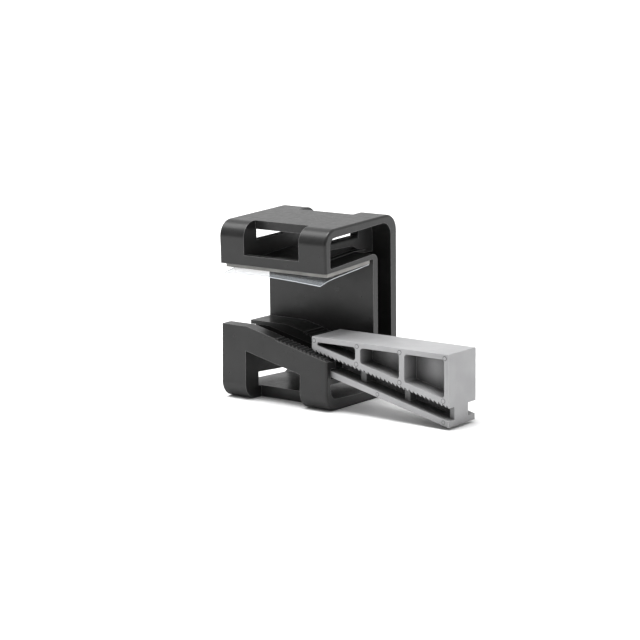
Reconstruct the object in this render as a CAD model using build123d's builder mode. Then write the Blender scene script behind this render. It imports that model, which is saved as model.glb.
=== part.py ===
from build123d import *
from math import cos, sin, tan, radians
import os

os.makedirs("parts", exist_ok=True)

# A moulded C-shaped edge clamp with a sliding ratchet wedge.
# X runs along the mouth, Y from the mouth to the back, Z up.
# The origin is the middle of the frame's underside. The sizes below count X from the frame's
# left side and Y from its mouth, and the sketch planes left_side and mouth put them in place.

# ---- Driving dimensions, mm ----
width = 52.0            # along X
depth = 47.1            # along Y
top_front = 70.7        # height of the top at the mouth
top_back = 72.6         # height of the top at the back
corner_radius = 6.5     # outer corners of the C
right_round = 0.9       # rounding of the outer edges on the right side
left_round = 0.3        # and on the left side, where the mould parts

front_wall = 2.9        # lower front wall, and the inner end of the rails
front_lean = 0.7        # how far the lower front wall leans back at its top
lip_front_y = 0.5       # front of the upper jaw's underside
jaw_under_front = 53.95  # height of the upper jaw's underside at the mouth
jaw_under_back = 56.0   # and at the web: the two jaws toe in
web_front = 31.05       # front face of the web
web_back = 33.9
back_inner = 43.1       # inner face of the back wall
back_draft = 0.3        # how far that face leans in at its top

# Space between the two skins
upper_wall = 3.3        # front wall of the upper jaw
jaw_skin_front = 55.7   # top of the upper jaw's lower skin at the mouth
jaw_skin_back = 58.3    # and at the web
top_inner_front = 67.3  # underside of the top skin at the mouth
top_inner_back = 69.7   # and at the back
void_foot = 9.0         # lower end of the space behind the web
inner_round_back = 5.2  # inner corner behind the top
inner_round_front = 3.0
inner_round_low = 1.0
inner_round_web = 3.0   # where the upper jaw's lower skin turns down into the web
floor_front = 4.85      # top of the bottom skin at the mouth
floor_back = 3.2        # and at the back
lower_void_top = 26.0   # above the channel's floor, which cuts this space off
lower_round = 3.6       # inner corners along the floor

# Wedge ramp
ramp_angle = 13.0
front_shoulder = 29.8   # flat top of the front rail at its left end
rear_shoulder = 28.4    # flat top of the rear rail at its left end
knee_x = 12.2           # where the front rail starts to fall
lip_inner_front = 6.2   # inner edge of the front rail's lip
lip_inner_rear = 18.7   # front edge of the rear rail
lip_thickness = 3.6     # normal to the ramp
lip_left_end = 1.6      # thickness of the rails at the left end
channel_rear = 21.8     # rear side of the channel that the wedge's foot runs in
channel_depth = 7.75    # vertical, from the tooth tips to the channel's floor
channel_floor = 2.2     # vertical thickness of the floor under the channel
rail_core_drop = 1.5    # vertical, from the tooth tips to the top of the core behind the channel
rail_core_knee = 17.0   # where that core starts to fall

tooth_pitch = 1.95      # along the ramp
tooth_height = 0.95
tooth_lead = 0.12       # share of the pitch that the steep flank takes
rail_teeth_x = 26.8     # where the rail's teeth begin
tooth_front = 1.3       # front end of the front rail's teeth
front_step = 0.6        # step from the tooth tips down to the front wall's top

# Strap windows and tunnels
window_left = 12.0
window_right = 39.0
tunnel_wall = 4.0
upper_window_sill = 58.0
front_run = 7.6         # how far the front window cuts back into the top skin
rear_run = 10.6         # how far the rear window cuts forward into it
lower_run = 10.0        # how far the front window cuts back into the bottom skin
lower_rear_sill = 13.0  # top of the lower jaw's rear window
post_depth = 8.3        # depth of the full-height tunnel walls at the front
rear_post = 33.5        # start of the full-height tunnel walls at the back
rim_front = 63.2        # top of the half-height tunnel walls in the upper jaw
rim_back = 64.0
rim_round = 1.0
hang_front = 10.2       # lower end of the half-height tunnel walls in the lower jaw
hang_back = 8.9
recess_top_front = 60.9  # recess in the outer face of the upper tunnel walls
recess_top_back = 60.5
recess_depth = 2.4
recess_sill = 0.3       # its lower edge, above the skin below it
recess_slant_y = 4.0    # its top slants down over this run
recess_slant_z = 1.6    # by this much
recess_tail = 5.0       # and from the rear post back to the skin over this run
wall_root = 1.4         # how far the upper tunnel walls reach down into the skin behind the web
rib_thickness = 2.5     # rib up the back, between the web and the back wall
rib_low = 14.0
rib_high = 56.0

# Wedge
wedge_tip_x = 42.75
wedge_end_x = 106.45
wedge_front = 3.3
wedge_back = 21.4
wedge_top = 28.8
wedge_clearance = 0.4   # gap between the two sets of tooth tips, vertical
groove_height = 4.95    # vertical, from the tooth tips to the foot
foot_height = 2.4       # vertical
foot_start_x = 51.3
foot_back = 20.8
neck_front = 7.2        # the neck between the body and the foot
neck_back = 16.3
plate_half = 1.05       # half the thickness of the wedge's middle plate
wedge_top_wall = 2.05
wedge_nose = 2.6        # thickness of the wall at the wedge's tip
wedge_bar = 2.95        # vertical thickness of the toothed bar
rib_starts = (63.5, 83.9, 104.4)
rib_ends = (65.8, 86.3, wedge_end_x)
pocket_round = 1.2
nose_round = 0.5
wedge_round = 0.3

# Grip pad and its film
pad_thickness = 1.45
pad_left = 2.0
pad_right = 51.8
pad_front = 1.3
pad_back = 29.2
pad_round = 0.4
film_thickness = 0.3
film_stations = (4.0, 15.5, 27.0, 39.5, 51.5)
film_droops = (1.25, 1.05, 0.95, 1.5, 2.25)  # below the pad's face, at the front edge of each
film_run = (29.0, 20.4, 10.0, 6.2, 2.4, -2.5)  # from the web to the front edge, proud of the mouth
film_shares = (0.06, 0.22, 0.39, 0.45, 0.58, 1.0)  # of each station's droop, along that run

slope = tan(radians(ramp_angle))
left_side = Plane(origin=(-width / 2, -depth / 2, 0), x_dir=(0, 1, 0), z_dir=(1, 0, 0))
mouth = Plane(origin=(-width / 2, -depth / 2, 0), x_dir=(1, 0, 0), z_dir=(0, -1, 0))
over = 1.0              # how far cutting bodies reach past what they cut
near = 0.1              # distance within which an edge counts as lying on a face
leaning = 5             # degrees that an edge may lean from the axis it is picked by


def tip_line(x):
    """Height of the rails' tooth tips at x."""
    return front_shoulder - slope * (x - knee_x)


def ramp_point(s, h):
    """X and Z of a point s along the ramp from the knee and h off it."""
    a = radians(ramp_angle)
    return (knee_x + s * cos(a) + h * sin(a), front_shoulder - s * sin(a) + h * cos(a))


def jaw_under(y):
    """Height of the upper jaw's underside at y."""
    share = (y - lip_front_y) / (web_front - lip_front_y)
    return jaw_under_front + share * (jaw_under_back - jaw_under_front)


def skin_top(y):
    """Height of the top of the upper jaw's lower skin at y."""
    share = (y - upper_wall) / (web_back - upper_wall)
    return jaw_skin_front + share * (jaw_skin_back - jaw_skin_front)


def rail_profile(shoulder):
    """Side outline of a rail: flat shoulder, plain ramp, then teeth down to the right side."""
    a = radians(ramp_angle)
    knee = knee_x + (front_shoulder - shoulder) / slope
    points = [(0, shoulder), (knee, shoulder)]
    s = (rail_teeth_x - knee_x) / cos(a)
    points.append(ramp_point(s, 0))
    while ramp_point(s + tooth_pitch, 0)[0] < width:
        points.append(ramp_point(s, -tooth_height))
        points.append(ramp_point(s + tooth_lead * tooth_pitch, 0))
        s += tooth_pitch
    points.append(ramp_point(s, -tooth_height))
    points.append((width, tip_line(width) - tooth_height / cos(a)))
    underside = lip_thickness / cos(a)
    left_underside = shoulder - lip_left_end
    points.append((width, tip_line(width) - underside))
    points.append((knee_x + (front_shoulder - underside - left_underside) / slope, left_underside))
    points.append((0, left_underside))
    return points


# ---- Voids of the frame ----
# The space between the two skins: up the back and along the upper jaw
with BuildPart() as upper_void:
    with BuildSketch(left_side) as upper_void_sketch:
        with BuildLine():
            Polyline(
                (web_back, void_foot),
                (back_inner, void_foot),
                (back_inner - back_draft, top_inner_back),
                (upper_wall, top_inner_front),
                (upper_wall, jaw_skin_front),
                (web_back, jaw_skin_back),
                close=True,
            )
        make_face()
        web_corners = upper_void_sketch.vertices().group_by(Axis.X)[1].sort_by(Axis.Y)
        fillet(web_corners[-1:], inner_round_web)
        fillet(upper_void_sketch.vertices().sort_by(Axis.Y)[-1:], inner_round_back)
        front_corners = upper_void_sketch.vertices().group_by(Axis.X)[0].sort_by(Axis.Y)
        fillet(front_corners[-1:], inner_round_front)
        front_corners = upper_void_sketch.vertices().group_by(Axis.X)[0].sort_by(Axis.Y)
        fillet(front_corners[:1], inner_round_low)
    extrude(amount=width)

# The strap tunnel of the lower jaw, under the channel's floor
under_floor = channel_depth + channel_floor
with BuildPart() as lower_void:
    with BuildSketch(left_side) as lower_void_sketch:
        with BuildLine():
            Polyline(
                (front_wall, floor_front),
                (back_inner, floor_back),
                (back_inner, lower_void_top),
                (front_wall, lower_void_top),
                close=True,
            )
        make_face()
        fillet(lower_void_sketch.vertices().sort_by(Axis.Y)[:2], lower_round)
    extrude(amount=width)
    split(
        bisect_by=Plane(
            origin=(-width / 2, 0, tip_line(0) - under_floor),
            x_dir=(1, 0, -slope),
            z_dir=(slope, 0, 1),
        ),
        keep=Keep.BOTTOM,
    )

# ---- Clamp frame ----
with BuildPart() as clamp_frame:
    # The C as one block
    with BuildSketch(left_side) as outline:
        with BuildLine():
            Polyline(
                (0, 0),
                (depth, 0),
                (depth, top_back),
                (0, top_front),
                (lip_front_y, jaw_under_front),
                (web_front, jaw_under_back),
                (web_front, front_shoulder),
                (front_lean, front_shoulder),
                close=True,
            )
        make_face()
        fillet(outline.vertices().group_by(Axis.Y)[0], corner_radius)
        fillet(outline.vertices().sort_by(Axis.Y)[-1:], corner_radius)
        fillet(outline.vertices().group_by(Axis.Y)[-2].sort_by(Axis.X)[:1], corner_radius)
    extrude(amount=width)
    # Its outer edges are rounded on both sides, those around the throat are left sharp
    web_y = web_front - depth / 2
    side_faces = clamp_frame.faces().filter_by(Axis.X).sort_by(Axis.X)
    for face, radius in zip(side_faces, (left_round, right_round)):
        outer_edges = [
            e for e in face.edges()
            if e.center().Y > web_y + near or not rear_shoulder < e.center().Z < jaw_under_back + over
        ]
        fillet(outer_edges, radius)

    add(upper_void.part, mode=Mode.SUBTRACT)
    add(lower_void.part, mode=Mode.SUBTRACT)

    # Top of the lower jaw: everything above the two rails is cut away
    with BuildSketch(mouth.offset(-lip_inner_front)):
        with BuildLine():
            Polyline(
                (0, front_shoulder),
                (knee_x, front_shoulder),
                (rail_teeth_x, tip_line(rail_teeth_x)),
                (rail_teeth_x, tip_line(rail_teeth_x) - front_step),
                (width, tip_line(width) - front_step),
                (width, front_shoulder + over),
                (0, front_shoulder + over),
                close=True,
            )
        make_face()
    extrude(amount=lip_inner_front + over, mode=Mode.SUBTRACT)
    with BuildSketch(mouth.offset(-web_front)):
        with BuildLine():
            Polyline(
                (0, tip_line(0) - channel_depth),
                (width, tip_line(width) - channel_depth),
                (width, front_shoulder + over),
                (0, front_shoulder + over),
                close=True,
            )
        make_face()
    extrude(amount=web_front - front_wall, mode=Mode.SUBTRACT)

    # Front lip and rear rail with their teeth
    with BuildSketch(mouth.offset(-lip_inner_front)):
        with BuildLine():
            Polyline(*rail_profile(front_shoulder), close=True)
        make_face()
    extrude(amount=lip_inner_front - tooth_front)
    with BuildSketch(mouth.offset(-web_front)):
        with BuildLine():
            Polyline(*rail_profile(rear_shoulder), close=True)
        make_face()
    extrude(amount=web_front - lip_inner_rear)
    # Core behind the wedge's foot, from the channel's floor up into the rear rail
    with BuildSketch(mouth.offset(-web_front)):
        with BuildLine():
            Polyline(
                (0, rear_shoulder - over),
                (rail_core_knee, rear_shoulder - over),
                (width, tip_line(width) - rail_core_drop),
                (width, tip_line(width) - channel_depth),
                (0, tip_line(0) - channel_depth),
                close=True,
            )
        make_face()
    extrude(amount=web_front - channel_rear)

    # Strap tunnel walls: full height at the front and back, half height between
    for x in (window_left - tunnel_wall, window_right):
        with BuildSketch(left_side.offset(x)):
            with BuildLine():
                Polyline(
                    (upper_wall - over, jaw_skin_front - over),
                    (upper_wall - over, top_inner_front + over),
                    (post_depth, top_inner_front + over),
                    (post_depth, rim_front),
                    (rear_post, rim_back),
                    (rear_post, top_inner_back + over),
                    (back_inner + over, top_inner_back + over),
                    (back_inner + over, jaw_skin_back - wall_root),
                    (web_front, jaw_skin_back - wall_root),
                    close=True,
                )
            make_face()
        extrude(amount=tunnel_wall)
        lower_top = tip_line(x) - channel_depth - over
        with BuildSketch(left_side.offset(x)):
            with BuildLine():
                Polyline(
                    (front_wall - over, floor_back),
                    (front_wall - over, lower_top),
                    (web_front, lower_top),
                    (web_front, hang_back),
                    (post_depth, hang_front),
                    (post_depth, floor_back),
                    close=True,
                )
            make_face()
        extrude(amount=tunnel_wall)

    # Rib up the back, between the web and the back wall
    with BuildSketch(left_side.offset((width - rib_thickness) / 2)):
        with Locations(((web_back + back_inner) / 2, (rib_low + rib_high) / 2)):
            Rectangle(back_inner - web_back + over, rib_high - rib_low)
    extrude(amount=rib_thickness)

    # Rounded rims of the upper tunnel walls, on their outer side
    wall_outer = (window_left - tunnel_wall - width / 2, window_right + tunnel_wall - width / 2)
    rims = [
        e for e in clamp_frame.edges().filter_by(Axis.Y, tolerance=leaning)
        if rim_front < e.center().Z < rim_back
        and min(abs(e.center().X - x) for x in wall_outer) < near
    ]
    fillet(rims, rim_round)
    # and the recess below each rim
    for x in (window_left - tunnel_wall - over, window_right + tunnel_wall - recess_depth):
        with BuildSketch(left_side.offset(x)):
            with BuildLine():
                Polyline(
                    (upper_wall + over, skin_top(upper_wall + over) + recess_sill),
                    (upper_wall + over, recess_top_front),
                    (rear_post - recess_slant_y, recess_top_back),
                    (rear_post, recess_top_back - recess_slant_z),
                    (rear_post + recess_tail, jaw_skin_back - recess_sill),
                    (web_back - inner_round_web, skin_top(web_back - inner_round_web) + recess_sill),
                    close=True,
                )
            make_face()
        extrude(amount=recess_depth + over, mode=Mode.SUBTRACT)

    # Strap windows: front and back of the upper jaw
    window_width = window_right - window_left
    window_mid = (window_left + window_right) / 2
    window_height = 20.0
    for front, run in ((front_run, front_run), (depth + over, rear_run + over)):
        with BuildSketch(mouth.offset(-front)):
            with Locations((window_mid, upper_window_sill + window_height / 2)):
                Rectangle(window_width, window_height)
        extrude(amount=run + over, mode=Mode.SUBTRACT)
    # and of the lower jaw, where the front window's top follows the ramp
    with BuildSketch(mouth.offset(-post_depth)):
        with BuildLine():
            Polyline(
                (window_left, -over),
                (window_right, -over),
                (window_right, tip_line(window_right) - under_floor),
                (window_left, tip_line(window_left) - under_floor),
                close=True,
            )
        make_face()
    extrude(amount=post_depth + over, mode=Mode.SUBTRACT)
    with BuildSketch(mouth.offset(-lower_run)):
        with Locations((window_mid, floor_front / 2)):
            Rectangle(window_width, floor_front + 2 * over)
    extrude(amount=lower_run + over, mode=Mode.SUBTRACT)
    with BuildSketch(mouth.offset(-(depth + over))):
        with Locations((window_mid, (lower_rear_sill - over) / 2)):
            Rectangle(window_width, lower_rear_sill + over)
    extrude(amount=front_run + 2 * over, mode=Mode.SUBTRACT)
clamp_frame.part.label = "clamp_frame"
export_step(clamp_frame.part, "parts/clamp_frame.step")


# ---- Ratchet wedge ----
def wedge_tips(x):
    """Height of the wedge's tooth tips at x."""
    return tip_line(x) + wedge_clearance


wedge_mid = (wedge_front + wedge_back) / 2
with BuildPart() as ratchet_wedge:
    # Toothed body above the rails
    teeth = []
    root = tooth_height / cos(radians(ramp_angle))
    step = tooth_pitch * cos(radians(ramp_angle))
    x = wedge_tip_x
    while x + step < wedge_end_x:
        teeth.append((x, wedge_tips(x) + root))
        teeth.append((x + step * (1 - tooth_lead), wedge_tips(x + step * (1 - tooth_lead))))
        x += step
    teeth.append((x, wedge_tips(x) + root))
    teeth.append((wedge_end_x, wedge_tips(wedge_end_x)))
    with BuildSketch(mouth.offset(-wedge_back)):
        with BuildLine():
            Polyline((wedge_tip_x, wedge_top), *teeth, (wedge_end_x, wedge_top), close=True)
        make_face()
    extrude(amount=wedge_back - wedge_front)
    # Foot that runs under the rails
    with BuildSketch(mouth.offset(-foot_back)):
        with BuildLine():
            Polyline(
                (foot_start_x, wedge_tips(foot_start_x) - groove_height),
                (wedge_end_x, wedge_tips(wedge_end_x) - groove_height),
                (wedge_end_x, wedge_tips(wedge_end_x) - groove_height - foot_height),
                (foot_start_x, wedge_tips(foot_start_x) - groove_height - foot_height),
                close=True,
            )
        make_face()
    extrude(amount=foot_back - wedge_front)
    # Pockets on both sides of the middle plate
    pocket_starts = (wedge_tip_x + wedge_nose,) + rib_ends[:2]
    for face_y, inward in ((wedge_front, -1), (wedge_back, 1)):
        pocket_depth = (wedge_back - wedge_front) / 2 - plate_half
        for x0, x1 in zip(pocket_starts, rib_starts):
            with BuildSketch(mouth.offset(-face_y)) as pocket:
                with BuildLine():
                    Polyline(
                        (x0, wedge_top - wedge_top_wall),
                        (x1, wedge_top - wedge_top_wall),
                        (x1, wedge_tips(x1) + wedge_bar),
                        (x0, wedge_tips(x0) + wedge_bar),
                        close=True,
                    )
                make_face()
                fillet(pocket.vertices().group_by(Axis.X)[-1], pocket_round)
                left_round_here = nose_round if x0 == pocket_starts[0] else pocket_round
                fillet(pocket.vertices().group_by(Axis.X)[0], left_round_here)
            extrude(amount=inward * pocket_depth, mode=Mode.SUBTRACT)
    # Neck between body and foot: the middle plate, and the ribs inset by the groove
    neck_pieces = [(foot_start_x, wedge_end_x, wedge_mid - plate_half, wedge_mid + plate_half)]
    neck_pieces += [(x0, x1, neck_front, neck_back) for x0, x1 in zip(rib_starts, rib_ends)]
    for x0, x1, y0, y1 in neck_pieces:
        with BuildSketch(mouth.offset(-y1)):
            with BuildLine():
                Polyline(
                    (x0, wedge_tips(x0) + root + over / 2),
                    (x1, wedge_tips(x1) + root + over / 2),
                    (x1, wedge_tips(x1) - groove_height - over),
                    (x0, wedge_tips(x0) - groove_height - over),
                    close=True,
                )
            make_face()
        extrude(amount=y1 - y0)
    # Softened upper edges
    fillet(ratchet_wedge.faces().sort_by(Axis.Z)[-1].edges(), wedge_round)
ratchet_wedge.part.label = "ratchet_wedge"
export_step(ratchet_wedge.part, "parts/ratchet_wedge.step")

# ---- Grip pad under the upper jaw ----
with BuildPart() as grip_pad:
    with BuildSketch(left_side.offset(pad_left)):
        with BuildLine():
            Polyline(
                (pad_front, jaw_under(pad_front)),
                (pad_back, jaw_under(pad_back)),
                (pad_back, jaw_under(pad_back) - pad_thickness),
                (pad_front, jaw_under(pad_front) - pad_thickness),
                close=True,
            )
        make_face()
    extrude(amount=pad_right - pad_left)
    fillet(grip_pad.edges().filter_by(Axis.Z, tolerance=leaning), pad_round)
grip_pad.part.label = "grip_pad"
export_step(grip_pad.part, "parts/grip_pad.step")

# ---- Clear film under the pad, its front flap hanging free ----
with BuildPart() as release_film:
    for x, droop in zip(film_stations, film_droops):
        upper = [
            (y, jaw_under(y) - pad_thickness - share * droop)
            for y, share in zip(film_run, film_shares)
        ]
        lower = [(y, z - film_thickness) for y, z in reversed(upper)]
        with BuildSketch(left_side.offset(x)):
            with BuildLine():
                Polyline(*upper, *lower, close=True)
            make_face()
    loft(ruled=True)
release_film.part.label = "release_film"
export_step(release_film.part, "parts/release_film.step")
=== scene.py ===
import math

import bmesh
import bpy
from mathutils import Matrix, Vector


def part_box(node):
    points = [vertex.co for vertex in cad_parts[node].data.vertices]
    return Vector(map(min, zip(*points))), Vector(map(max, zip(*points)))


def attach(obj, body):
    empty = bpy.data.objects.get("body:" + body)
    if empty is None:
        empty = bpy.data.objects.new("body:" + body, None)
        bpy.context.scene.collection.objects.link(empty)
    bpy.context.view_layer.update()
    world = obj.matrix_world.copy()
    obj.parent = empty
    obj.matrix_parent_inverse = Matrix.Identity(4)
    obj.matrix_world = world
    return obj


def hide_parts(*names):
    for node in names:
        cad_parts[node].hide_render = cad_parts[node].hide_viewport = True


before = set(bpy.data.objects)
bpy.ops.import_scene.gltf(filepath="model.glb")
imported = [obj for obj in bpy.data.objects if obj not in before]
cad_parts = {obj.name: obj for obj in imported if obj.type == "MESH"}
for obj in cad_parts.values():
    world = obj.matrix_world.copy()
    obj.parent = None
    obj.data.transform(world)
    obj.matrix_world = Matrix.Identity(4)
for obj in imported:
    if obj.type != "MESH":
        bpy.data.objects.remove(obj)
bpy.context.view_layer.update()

MM = 0.001

# Noise values between these two positions cover the whole of a ramp or a spread
NOISE_LOW, NOISE_HIGH = 0.3, 0.7
ALONG_X = (0.35, 1, 1)      # stretches a noise into marks along X
LONG_STREAKS = (0.2, 1, 1)


# ---------------------------------------------------------------- materials
def new_material(name):
    """A node material with only an output and a Principled shader."""
    mat = bpy.data.materials.new(name)
    mat.use_nodes = True
    tree = mat.node_tree
    tree.nodes.clear()
    out = tree.nodes.new("ShaderNodeOutputMaterial")
    shader = tree.nodes.new("ShaderNodeBsdfPrincipled")
    tree.links.new(shader.outputs[0], out.inputs["Surface"])
    return mat, tree, shader


def noise(tree, scale, detail=3.0, roughness=0.5, stretch=(1, 1, 1)):
    """Noise texture in object space, in metres; returns its factor socket."""
    coords = tree.nodes.new("ShaderNodeTexCoord")
    mapping = tree.nodes.new("ShaderNodeMapping")
    mapping.inputs["Scale"].default_value = stretch
    tex = tree.nodes.new("ShaderNodeTexNoise")
    tex.inputs["Scale"].default_value = scale
    tex.inputs["Detail"].default_value = detail
    tex.inputs["Roughness"].default_value = roughness
    tree.links.new(coords.outputs["Object"], mapping.inputs["Vector"])
    tree.links.new(mapping.outputs["Vector"], tex.inputs["Vector"])
    return tex.outputs["Fac"]


def ramp(tree, fac, low, high):
    """Colour ramp from low to high over the noise's range; returns its colour socket."""
    node = tree.nodes.new("ShaderNodeValToRGB")
    node.color_ramp.elements[0].position = NOISE_LOW
    node.color_ramp.elements[1].position = NOISE_HIGH
    node.color_ramp.elements[0].color = (*low, 1)
    node.color_ramp.elements[1].color = (*high, 1)
    tree.links.new(fac, node.inputs["Fac"])
    return node.outputs["Color"]


def grey(value):
    """A neutral colour."""
    return (value, value, value)


def map_range(tree, value, start, end, low=0.0, high=1.0):
    """The value socket mapped from start to end onto low to high, and clamped there."""
    node = tree.nodes.new("ShaderNodeMapRange")
    node.inputs["From Min"].default_value = start
    node.inputs["From Max"].default_value = end
    node.inputs["To Min"].default_value = low
    node.inputs["To Max"].default_value = high
    tree.links.new(value, node.inputs["Value"])
    return node.outputs["Result"]


def spread(tree, fac, low, high):
    """The noise's range mapped onto low to high, as a number socket."""
    return map_range(tree, fac, NOISE_LOW, NOISE_HIGH, low, high)


def bumps(tree, shader, layers):
    """Stacks bump nodes: each layer is (height socket, strength, distance in metres)."""
    normal = None
    for height, strength, distance in layers:
        node = tree.nodes.new("ShaderNodeBump")
        node.inputs["Strength"].default_value = strength
        node.inputs["Distance"].default_value = distance
        tree.links.new(height, node.inputs["Height"])
        if normal is not None:
            tree.links.new(normal, node.inputs["Normal"])
        normal = node.outputs["Normal"]
    tree.links.new(normal, shader.inputs["Normal"])


def mixed(tree, factor, base, other):
    """The base colour socket mixed towards a plain colour; returns the colour socket."""
    mix = tree.nodes.new("ShaderNodeMix")
    mix.data_type = "RGBA"
    tree.links.new(factor, mix.inputs[0])
    tree.links.new(base, mix.inputs[6])
    mix.inputs[7].default_value = (*other, 1)
    return mix.outputs[2]


def wear_and_edge_highlight(tree, base, edge_tint, reach):
    """Mixes the edge colour in where an edge lies within reach, for wear and a painted
    highlight along the edge; returns the colour socket.
    """
    geometry = tree.nodes.new("ShaderNodeNewGeometry")
    rounded = tree.nodes.new("ShaderNodeBevel")
    rounded.samples = 4
    rounded.inputs["Radius"].default_value = reach
    match = tree.nodes.new("ShaderNodeVectorMath")
    match.operation = "DOT_PRODUCT"
    tree.links.new(geometry.outputs["Normal"], match.inputs[0])
    tree.links.new(rounded.outputs["Normal"], match.inputs[1])
    # 1 where the rounded and the true normal agree, less beside an edge
    plain_face, full_edge = 0.985, 0.85
    mask = map_range(tree, match.outputs["Value"], plain_face, full_edge)
    return mixed(tree, mask, base, edge_tint)


def recess_mask(tree, reach):
    """0 in the open and up to 1 deep in a pocket, as a number socket."""
    occlusion = tree.nodes.new("ShaderNodeAmbientOcclusion")
    occlusion.samples = 6
    occlusion.inputs["Distance"].default_value = reach
    open_air, deep_inside = 0.9, 0.32
    return map_range(tree, occlusion.outputs["AO"], open_air, deep_inside)


def frame_plastic():
    """Black glass-filled nylon with a fine spark-eroded texture."""
    mat, tree, shader = new_material("frame_plastic")
    cloudy = noise(tree, 90, 4)
    grain = noise(tree, 5200, 2)
    flow = noise(tree, 420, 3, 0.6)
    base = ramp(tree, cloudy, grey(0.008), grey(0.013))
    # Edges lighter: partly wear, partly a painted highlight along the rims
    edge_tint = wear_and_edge_highlight(tree, base, grey(0.17), 0.35 * MM)
    tree.links.new(edge_tint, shader.inputs["Base Color"])
    duller = tree.nodes.new("ShaderNodeMath")
    duller.operation = "MULTIPLY_ADD"
    duller.inputs[1].default_value = 0.45       # roughness added deep in a recess
    tree.links.new(recess_mask(tree, 12 * MM), duller.inputs[0])
    tree.links.new(spread(tree, flow, 0.27, 0.36), duller.inputs[2])
    tree.links.new(duller.outputs[0], shader.inputs["Roughness"])
    shader.inputs["IOR"].default_value = 1.46
    bumps(tree, shader, [(grain, 0.12, 0.02 * MM), (flow, 0.06, 0.1 * MM)])
    return mat


def wedge_plastic(name, shade):
    """Satin grey moulding; shade is its darkest tone in the open.

    Its pockets and its groove are darkened here, because the lights alone leave them too pale.
    """
    painted_shade_tone, edge_tone = 0.22 * shade, 1.35 * shade
    mat, tree, shader = new_material(name)
    cloudy = noise(tree, 70, 4)
    grain = noise(tree, 4200, 2)
    flow = noise(tree, 260, 3, 0.6, ALONG_X)
    darkest = (shade, shade, shade * 1.02)
    lightest = (shade + 0.07, shade + 0.07, shade + 0.075)
    base = ramp(tree, cloudy, darkest, lightest)
    # Painted shade: darker deep in the pockets and the groove, through the occlusion mask
    with_painted_shade = mixed(tree, recess_mask(tree, 9 * MM), base, grey(painted_shade_tone))
    # Lighter along its edges
    edge_tint = wear_and_edge_highlight(tree, with_painted_shade, grey(edge_tone), 0.25 * MM)
    tree.links.new(edge_tint, shader.inputs["Base Color"])
    tree.links.new(spread(tree, flow, 0.38, 0.5), shader.inputs["Roughness"])
    shader.inputs["IOR"].default_value = 1.48
    bumps(tree, shader, [(grain, 0.12, 0.03 * MM), (flow, 0.06, 0.1 * MM)])
    return mat


def pad_foam():
    """Grey close-cell pad."""
    mat, tree, shader = new_material("pad_foam")
    cells = noise(tree, 2600, 3, 0.7)
    cloudy = noise(tree, 160, 3)
    base = ramp(tree, cloudy, (0.2, 0.195, 0.185), (0.3, 0.295, 0.28))
    tree.links.new(base, shader.inputs["Base Color"])
    tree.links.new(spread(tree, cells, 0.5, 0.7), shader.inputs["Roughness"])
    bumps(tree, shader, [(cells, 0.4, 0.08 * MM)])
    return mat


def clear_film(name, tint, low_alpha, high_alpha):
    """Thin clear film with faint streaks, or, for its cut edges, a lighter and denser look that
    is a painted highlight along them.
    """
    mat, tree, shader = new_material(name)
    streaks = noise(tree, 300, 4, 0.6, LONG_STREAKS)
    base = ramp(tree, streaks, tint, tuple(1.12 * c for c in tint))
    tree.links.new(base, shader.inputs["Base Color"])
    tree.links.new(spread(tree, streaks, 0.12, 0.3), shader.inputs["Roughness"])
    tree.links.new(spread(tree, streaks, low_alpha, high_alpha), shader.inputs["Alpha"])
    shader.inputs["IOR"].default_value = 1.45
    bumps(tree, shader, [(streaks, 0.08, 0.1 * MM)])
    return mat


# ---------------------------------------------------------------- pieces
SAME_POINT = 0.002 * MM     # vertices closer than this are one
FLAT_ANGLE = math.radians(0.6)      # facets closer than this in direction are one face
EDGE_ANGLE = math.radians(28)       # edges sharper than this are rounded


def moulded_copy(node, name, body, mat, bevel):
    """A new piece with the CAD node's shape, its edges rounded as a moulding's are."""
    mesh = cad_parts[node].data.copy()
    mesh.name = name
    mesh.materials.clear()
    mesh.materials.append(mat)
    piece = bpy.data.objects.new(name, mesh)
    bpy.context.scene.collection.objects.link(piece)
    bm = bmesh.new()
    bm.from_mesh(mesh)
    bmesh.ops.remove_doubles(bm, verts=bm.verts, dist=SAME_POINT)
    bmesh.ops.dissolve_limit(bm, angle_limit=FLAT_ANGLE, verts=bm.verts, edges=bm.edges)
    for face in bm.faces:
        face.smooth = True
    bm.to_mesh(mesh)
    bm.free()
    if bevel:
        rounding = piece.modifiers.new("rounding", "BEVEL")
        rounding.width = bevel
        rounding.segments = 2
        rounding.limit_method = "ANGLE"
        rounding.angle_limit = EDGE_ANGLE
        rounding.use_clamp_overlap = True
    shading = piece.modifiers.new("shading", "WEIGHTED_NORMAL")
    shading.mode = "FACE_AREA"      # keeps broad faces flat beside their roundings
    shading.weight = 100
    shading.keep_sharp = True
    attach(piece, body)
    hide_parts(node)
    return piece


wedge_finish = wedge_plastic("wedge_plastic", 0.3)
moulded_copy("clamp_frame", "frame_shell", "frame", frame_plastic(), 0.22 * MM)
moulded_copy("ratchet_wedge", "wedge_body", "wedge", wedge_finish, 0.08 * MM)
pad = moulded_copy("grip_pad", "pad", "frame", pad_foam(), 0.2 * MM)
film_look = clear_film("clear_film", (0.27, 0.29, 0.31), 0.31, 0.37)
film = moulded_copy("release_film", "film", "frame", film_look, 0)
# The film's cut edges get a lighter, denser copy of the film: a painted highlight along them
film.data.materials.append(clear_film("film_edge_highlight", (0.62, 0.65, 0.68), 0.75, 0.85))
for face in film.data.polygons:
    face.use_smooth = False
    if abs(face.normal.z) < 0.5:    # the film's cut edges stand upright
        face.material_index = 1

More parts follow.
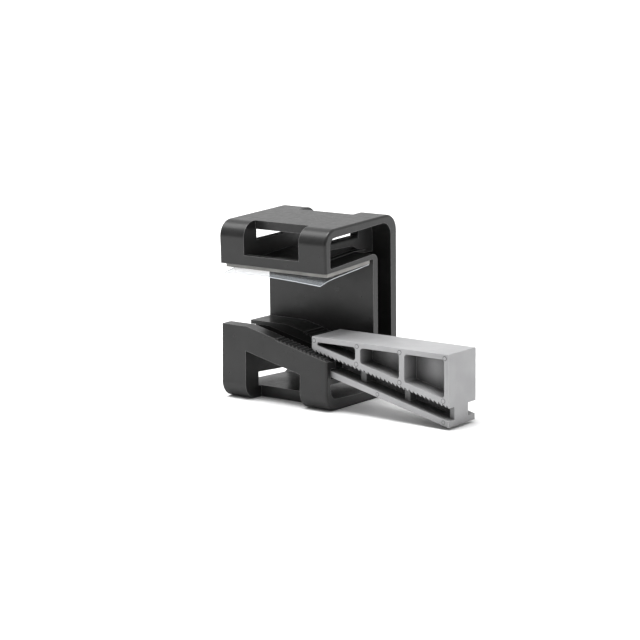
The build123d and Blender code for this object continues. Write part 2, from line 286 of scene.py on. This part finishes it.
# Ejector marks on both sides of the wedge, in mm back from its thick end
TOP_MARKS = (62.7, 42.2, 22.3, 1.8)     # on the top wall, at the nose and over each rib
BAR_MARKS = (42.5, 22.4, 2.5)           # on the toothed bar, under each rib
FOOT_MARKS = (32.6, 2.4)                # along the foot
TOP_RADIUS, BAR_RADIUS, FOOT_RADIUS = 0.9, 0.95, 0.8    # mm
TOP_DROP = 1.6          # mm from the wedge's top down to the marks on its top wall
BAR_RISE = 9.35         # mm from the foot's lower edge up to the marks on the bar
FOOT_RISE = 1.2         # and to those on the foot
RAMP_SLOPE = math.tan(math.radians(13))
# A mark's rings: (mm in from its radius, mm into the wedge), the last two raised above its side
MARK_RINGS = ((0, 0.05), (0, -0.03), (0.2, -0.07))
MARK_STEPS = 24


def mark_places(low, high):
    """(x, z, radius) of each mark, from the wedge's box; bar and foot rise with the ramp."""
    top = high.z - TOP_DROP * MM
    places = [(high.x - back * MM, top, TOP_RADIUS * MM) for back in TOP_MARKS]
    bar = (BAR_MARKS, BAR_RISE, BAR_RADIUS)
    foot = (FOOT_MARKS, FOOT_RISE, FOOT_RADIUS)
    for backs, rise, radius in (bar, foot):
        for back in backs:
            up = (RAMP_SLOPE * back + rise) * MM
            places.append((high.x - back * MM, low.z + up, radius * MM))
    return places


def mark_ring(bm, centre, radius):
    """A circle of vertices in the XZ plane."""
    angles = [2 * math.pi * k / MARK_STEPS for k in range(MARK_STEPS)]
    spokes = [Vector((math.cos(a), 0, math.sin(a))) for a in angles]
    return [bm.verts.new(centre + radius * spoke) for spoke in spokes]


def ejector_marks():
    """Round witness marks on both sides: a slightly raised disc inside a fine ring, painted
    dark as the shade in a groove.
    """
    low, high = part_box("ratchet_wedge")
    mesh = bpy.data.meshes.new("ejector_marks")
    mesh.materials.append(wedge_finish)
    # The ring's faces get a very dark copy of the wedge's material: painted shade standing in
    # for a groove round the disc
    mesh.materials.append(wedge_plastic("mark_ring", 0.07))
    bm = bmesh.new()
    for side_y, inward in ((low.y, 1), (high.y, -1)):
        for x, z, radius in mark_places(low, high):
            previous = None
            for inset, sink in MARK_RINGS:
                centre = Vector((x, side_y + inward * sink * MM, z))
                ring = mark_ring(bm, centre, radius - inset * MM)
                if previous:
                    for k in range(MARK_STEPS):
                        quad = (previous[k], previous[k - 1], ring[k - 1], ring[k])
                        bm.faces.new(quad).material_index = 1
                previous = ring
            bm.faces.new(previous)
    bmesh.ops.recalc_face_normals(bm, faces=bm.faces)
    bm.to_mesh(mesh)
    bm.free()
    marks = bpy.data.objects.new("ejector_marks", mesh)
    bpy.context.scene.collection.objects.link(marks)
    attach(marks, "wedge")


ejector_marks()


# ---------------------------------------------------------------- studio
def floor_sheet():
    """Pale seamless floor."""
    mesh = bpy.data.meshes.new("floor")
    half = 6.0      # metres, so that it fills the view to the horizon
    corners = [(-half, -half, 0), (half, -half, 0), (half, half, 0), (-half, half, 0)]
    mesh.from_pydata(corners, [], [(0, 1, 2, 3)])
    floor = bpy.data.objects.new("floor", mesh)
    bpy.context.scene.collection.objects.link(floor)
    mat, tree, shader = new_material("floor_white")
    fibre = noise(tree, 60, 3)
    tree.links.new(ramp(tree, fibre, grey(0.9), grey(0.93)), shader.inputs["Base Color"])
    shader.inputs["Roughness"].default_value = 0.6
    mesh.materials.append(mat)


def place_light(name, data, toward_light):
    """A light object that shines back along toward_light."""
    light = bpy.data.objects.new(name, data)
    light.rotation_mode = "QUATERNION"
    light.rotation_quaternion = Vector(toward_light).to_track_quat("Z", "Y")
    bpy.context.scene.collection.objects.link(light)
    return light


def soft_sun(name, toward_light, spread_angle, strength):
    """A very broad overhead source, even over the whole floor."""
    data = bpy.data.lights.new(name, "SUN")
    data.angle = math.radians(spread_angle)
    data.energy = strength
    place_light(name, data, toward_light)


def softbox(name, toward_light, distance, size, power):
    """A square source facing the middle of the frame."""
    low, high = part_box("clamp_frame")
    data = bpy.data.lights.new(name, "AREA")
    data.size = size
    data.energy = power
    light = place_light(name, data, toward_light)
    light.location = (low + high) / 2 + Vector(toward_light).normalized() * distance


def studio_world(toward_sweep):
    """White overhead and behind the object, falling to dark on the camera's side."""
    world = bpy.data.worlds.new("studio")
    bpy.context.scene.world = world
    world.use_nodes = True
    tree = world.node_tree
    coords = tree.nodes.new("ShaderNodeTexCoord")
    share = tree.nodes.new("ShaderNodeVectorMath")
    share.operation = "DOT_PRODUCT"
    share.inputs[1].default_value = Vector(toward_sweep).normalized()
    tree.links.new(coords.outputs["Generated"], share.inputs[0])
    dark_side, bright_side = -0.5, 0.35     # cosines of the angle from toward_sweep
    level = map_range(tree, share.outputs["Value"], dark_side, bright_side, 0.03, 0.9)
    background = tree.nodes["Background"]
    background.inputs["Color"].default_value = (1, 1, 1, 1)
    tree.links.new(level, background.inputs["Strength"])


floor_sheet()
soft_sun("overhead", toward_light=(-0.12, -0.16, 0.94), spread_angle=30, strength=3.0)
softbox("upper_left", toward_light=(-0.6, -0.16, 0.76), distance=1.0, size=0.5, power=2.6)
studio_world(toward_sweep=(-0.15, 0.5, 0.75))
bpy.context.scene.view_settings.view_transform = "Standard"

# ---------------------------------------------------------------- camera
YAW, PITCH, ROLL = 37.459, 10.649, -0.569   # degrees
DISTANCE = 0.90308                          # metres from the point aimed at
LENS, SENSOR = 128.2, 36                    # mm
FAR_CLIP = 20                               # metres
AIM = Vector((0.00416, 0.00146, 0.03044))


def main_camera():
    """The camera at YAW round from the mouth and PITCH above the floor, looking at AIM."""
    yaw, pitch, roll = (math.radians(v) for v in (YAW, PITCH, ROLL))
    forward = Vector(
        (-math.sin(yaw) * math.cos(pitch), math.cos(yaw) * math.cos(pitch), -math.sin(pitch))
    )
    right = Vector((math.cos(yaw), math.sin(yaw), 0))
    up = right.cross(forward)
    tilted_right = math.cos(roll) * right + math.sin(roll) * up
    tilted_up = math.cos(roll) * up - math.sin(roll) * right
    data = bpy.data.cameras.new("camera")
    data.sensor_width = SENSOR
    data.lens = LENS
    data.clip_end = FAR_CLIP
    camera = bpy.data.objects.new("camera", data)
    bpy.context.scene.collection.objects.link(camera)
    place = Matrix((tilted_right, tilted_up, -forward)).transposed().to_4x4()
    place.translation = AIM - forward * DISTANCE
    camera.matrix_world = place
    bpy.context.scene.camera = camera


main_camera()
